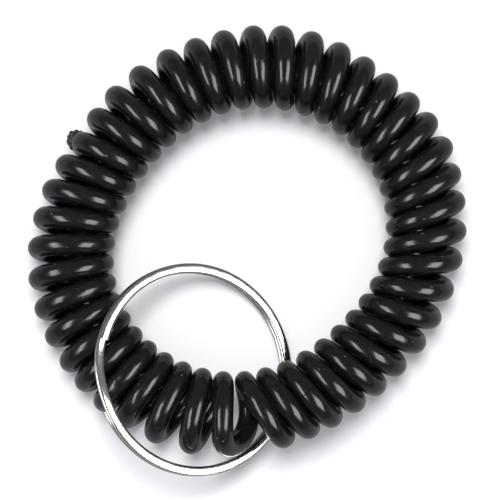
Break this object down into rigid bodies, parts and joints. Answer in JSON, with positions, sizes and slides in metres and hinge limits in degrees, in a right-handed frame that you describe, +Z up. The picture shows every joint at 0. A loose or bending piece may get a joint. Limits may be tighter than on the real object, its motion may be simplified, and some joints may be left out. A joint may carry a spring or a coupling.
{
  "type": "coil wrist band",
  "caption": "Stretchy coiled plastic wrist band with a metal split ring for clipping things to the wrist.",
  "frame": {"origin": "middle of the whole part on the surface it lies on", "axes": "+Z up through the wrist opening, +Y towards the side of the band away from the split ring"},
  "size_m": [0.0658, 0.0676, 0.0167],
  "materials": {
    "coil": "glossy black moulded polyurethane strand",
    "weld": "melted and set again, dull and pitted",
    "ring": "bright nickel plate on spring steel"
  },
  "bodies": {
    "link_01": {"coil_link_01": "coil", "weld_bead": "weld"},
    "link_02": {"coil_link_02": "coil"},
    "link_03": {"coil_link_03": "coil"},
    "link_04": {"coil_link_04": "coil"},
    "link_05": {"coil_link_05": "coil"},
    "link_06": {"coil_link_06": "coil"},
    "link_07": {"coil_link_07": "coil"},
    "link_08": {"coil_link_08": "coil"},
    "link_09": {"coil_link_09": "coil"},
    "link_10": {"coil_link_10": "coil"},
    "link_11": {"coil_link_11": "coil"},
    "link_12": {"coil_link_12": "coil"},
    "link_13": {"coil_link_13": "coil"},
    "link_14": {"coil_link_14": "coil"},
    "link_15": {"coil_link_15": "coil"},
    "link_16": {"coil_link_16": "coil"},
    "link_17": {"coil_link_17": "coil"},
    "link_18": {"coil_link_18": "coil"},
    "link_19": {"coil_link_19": "coil"},
    "link_20": {"coil_link_20": "coil"},
    "link_21": {"coil_link_21": "coil"},
    "link_22": {"coil_link_22": "coil"},
    "ring": {"split_ring": "ring"}
  },
  "joints": [
    {"name": "stretch_09", "type": "slide", "parent": "link_08", "child": "link_09", "axis": [0.9557, 0.2943, 0], "range_m": [0, 0.00413], "stiffness_N_per_m": 190},
    {"name": "stretch_10", "type": "slide", "parent": "link_09", "child": "link_10", "axis": [0.8561, 0.5167, 0], "range_m": [0, 0.00398], "stiffness_N_per_m": 197},
    {"name": "stretch_11", "type": "slide", "parent": "link_10", "child": "link_11", "axis": [0.7387, 0.674, 0], "range_m": [0, 0.00391], "stiffness_N_per_m": 201},
    {"name": "stretch_12", "type": "slide", "parent": "link_11", "child": "link_12", "axis": [0.5739, 0.8189, 0], "range_m": [0, 0.00402], "stiffness_N_per_m": 195},
    {"name": "stretch_13", "type": "slide", "parent": "link_12", "child": "link_13", "axis": [0.3432, 0.9393, 0], "range_m": [0, 0.00418], "stiffness_N_per_m": 188},
    {"name": "stretch_14", "type": "slide", "parent": "link_13", "child": "link_14", "axis": [0.0389, 0.9992, 0], "range_m": [0, 0.00429], "stiffness_N_per_m": 183},
    {"name": "stretch_15", "type": "slide", "parent": "link_14", "child": "link_15", "axis": [-0.2911, 0.9567, 0], "range_m": [0, 0.00431], "stiffness_N_per_m": 182},
    {"name": "stretch_16", "type": "slide", "parent": "link_15", "child": "link_16", "axis": [-0.6334, 0.7738, 0], "range_m": [0, 0.00424], "stiffness_N_per_m": 185},
    {"name": "stretch_17", "type": "slide", "parent": "link_16", "child": "link_17", "axis": [-0.8107, 0.5854, 0], "range_m": [0, 0.00415], "stiffness_N_per_m": 189},
    {"name": "stretch_18", "type": "slide", "parent": "link_17", "child": "link_18", "axis": [-0.937, 0.3494, 0], "range_m": [0, 0.00418], "stiffness_N_per_m": 188},
    {"name": "stretch_19", "type": "slide", "parent": "link_18", "child": "link_19", "axis": [-0.9998, 0.0198, 0], "range_m": [0, 0.00423], "stiffness_N_per_m": 186},
    {"name": "stretch_20", "type": "slide", "parent": "link_19", "child": "link_20", "axis": [-0.9605, -0.2783, 0], "range_m": [0, 0.00421], "stiffness_N_per_m": 186},
    {"name": "stretch_21", "type": "slide", "parent": "link_20", "child": "link_21", "axis": [-0.8584, -0.513, 0], "range_m": [0, 0.00411], "stiffness_N_per_m": 191},
    {"name": "stretch_22", "type": "slide", "parent": "link_21", "child": "link_22", "axis": [-0.6536, -0.7568, 0], "range_m": [0, 0.00589], "stiffness_N_per_m": 133},
    {"name": "stretch_07", "type": "slide", "parent": "link_08", "child": "link_07", "axis": [-0.999, -0.0438, 0], "range_m": [0, 0.00423], "stiffness_N_per_m": 186},
    {"name": "stretch_06", "type": "slide", "parent": "link_07", "child": "link_06", "axis": [-0.9563, 0.2925, 0], "range_m": [0, 0.00426], "stiffness_N_per_m": 184},
    {"name": "stretch_05", "type": "slide", "parent": "link_06", "child": "link_05", "axis": [-0.8122, 0.5834, 0], "range_m": [0, 0.00428], "stiffness_N_per_m": 183},
    {"name": "stretch_04", "type": "slide", "parent": "link_05", "child": "link_04", "axis": [-0.5961, 0.8029, 0], "range_m": [0, 0.00433], "stiffness_N_per_m": 181},
    {"name": "stretch_03", "type": "slide", "parent": "link_04", "child": "link_03", "axis": [-0.2912, 0.9567, 0], "range_m": [0, 0.00438], "stiffness_N_per_m": 179},
    {"name": "stretch_02", "type": "slide", "parent": "link_03", "child": "link_02", "axis": [0.0662, 0.9978, 0], "range_m": [0, 0.00432], "stiffness_N_per_m": 182},
    {"name": "stretch_01", "type": "slide", "parent": "link_02", "child": "link_01", "axis": [0.4299, 0.9029, 0], "range_m": [0, 0.00611], "stiffness_N_per_m": 129},
    {"name": "ring_swing", "type": "hinge", "parent": "link_08", "child": "ring", "pos_m": [0.00488, -0.02445, 0.00277], "axis": [0.3411, 0.8935, -0.292], "range_deg": [0, 82]}
  ],
  "couplings": [
    {"joint": "stretch_10", "follows": "stretch_09", "ratio": 0.96434},
    {"joint": "stretch_11", "follows": "stretch_09", "ratio": 0.94594},
    {"joint": "stretch_12", "follows": "stretch_09", "ratio": 0.97308},
    {"joint": "stretch_13", "follows": "stretch_09", "ratio": 1.0124},
    {"joint": "stretch_14", "follows": "stretch_09", "ratio": 1.0378},
    {"joint": "stretch_15", "follows": "stretch_09", "ratio": 1.044},
    {"joint": "stretch_16", "follows": "stretch_09", "ratio": 1.0252},
    {"joint": "stretch_17", "follows": "stretch_09", "ratio": 1.0051},
    {"joint": "stretch_18", "follows": "stretch_09", "ratio": 1.011},
    {"joint": "stretch_19", "follows": "stretch_09", "ratio": 1.0239},
    {"joint": "stretch_20", "follows": "stretch_09", "ratio": 1.0203},
    {"joint": "stretch_21", "follows": "stretch_09", "ratio": 0.99494},
    {"joint": "stretch_22", "follows": "stretch_09", "ratio": 1.4259},
    {"joint": "stretch_07", "follows": "stretch_09", "ratio": 1.0235},
    {"joint": "stretch_06", "follows": "stretch_09", "ratio": 1.0313},
    {"joint": "stretch_05", "follows": "stretch_09", "ratio": 1.0356},
    {"joint": "stretch_04", "follows": "stretch_09", "ratio": 1.0483},
    {"joint": "stretch_03", "follows": "stretch_09", "ratio": 1.0598},
    {"joint": "stretch_02", "follows": "stretch_09", "ratio": 1.0468},
    {"joint": "stretch_01", "follows": "stretch_09", "ratio": 1.4779}
  ]
}
